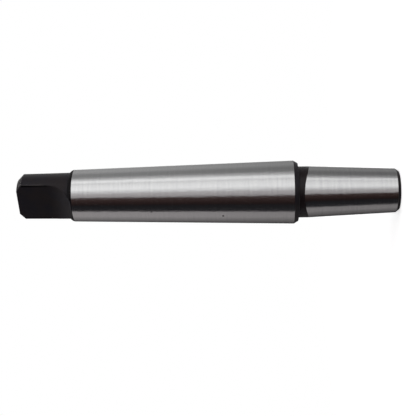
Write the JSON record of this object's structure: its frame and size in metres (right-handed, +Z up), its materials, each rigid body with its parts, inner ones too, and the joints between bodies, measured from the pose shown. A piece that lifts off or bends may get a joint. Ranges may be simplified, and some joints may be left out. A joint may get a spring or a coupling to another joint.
{
  "type": "drill chuck arbor",
  "caption": "One-piece steel arbor with a long tanged shank taper for a drill spindle and a short chuck taper beyond its shoulder.",
  "frame": {"origin": "centre of the chuck taper's end face, on which the arbor stands", "axes": "+Z up the axis from the chuck taper to the tang; the tang's two flats face +Y and -Y"},
  "size_m": [0.018, 0.018, 0.108],
  "materials": {
    "ground_steel": "both tapers cylindrically ground bright; tang, shoulder bevel, neck, chamfers and end faces black oxide"
  },
  "bodies": {
    "root": {"arbor": "ground_steel"}
  },
  "joints": []
}
